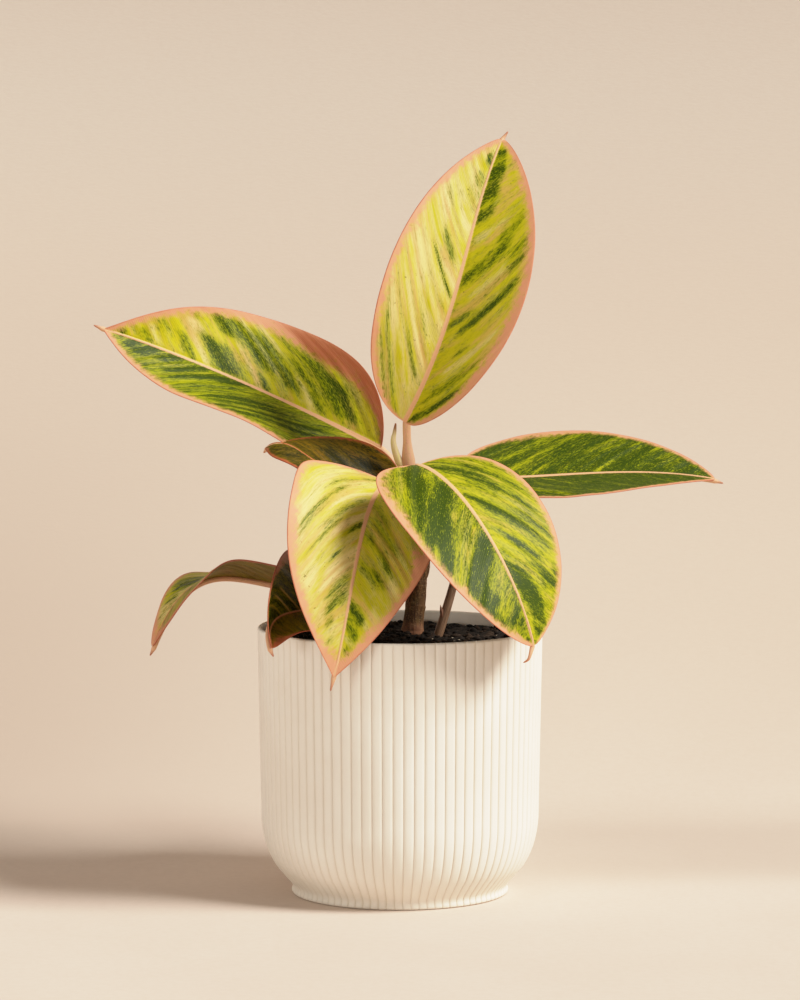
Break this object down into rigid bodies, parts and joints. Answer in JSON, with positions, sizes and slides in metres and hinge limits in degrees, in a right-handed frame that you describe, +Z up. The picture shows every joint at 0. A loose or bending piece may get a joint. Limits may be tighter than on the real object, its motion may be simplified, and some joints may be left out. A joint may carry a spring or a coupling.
{
  "type": "potted salmon fantasy chinese evergreen",
  "caption": "Chinese evergreen house plant with broad arching salmon edged leaves on a woody stem, standing in soil in a ribbed off-white footed pot.",
  "frame": {"origin": "centre of the flat underside of the pot's foot", "axes": "+Z up along the pot's axis; -Y is the front, where the plant faces; +X is the viewer's right"},
  "size_m": [0.3125, 0.1549, 0.3738],
  "materials": {
    "pot": "satin",
    "soil": "matte",
    "stem": "matte",
    "leaf": "satin"
  },
  "bodies": {
    "root": {"pot": "pot", "soil": "soil", "stem": "stem", "leaf_top": "leaf", "leaf_left": "leaf", "leaf_small": "leaf", "leaf_front_left": "leaf", "leaf_front_right": "leaf", "leaf_right": "leaf", "leaf_low_left": "leaf", "leaf_low_dark": "leaf"}
  },
  "joints": []
}
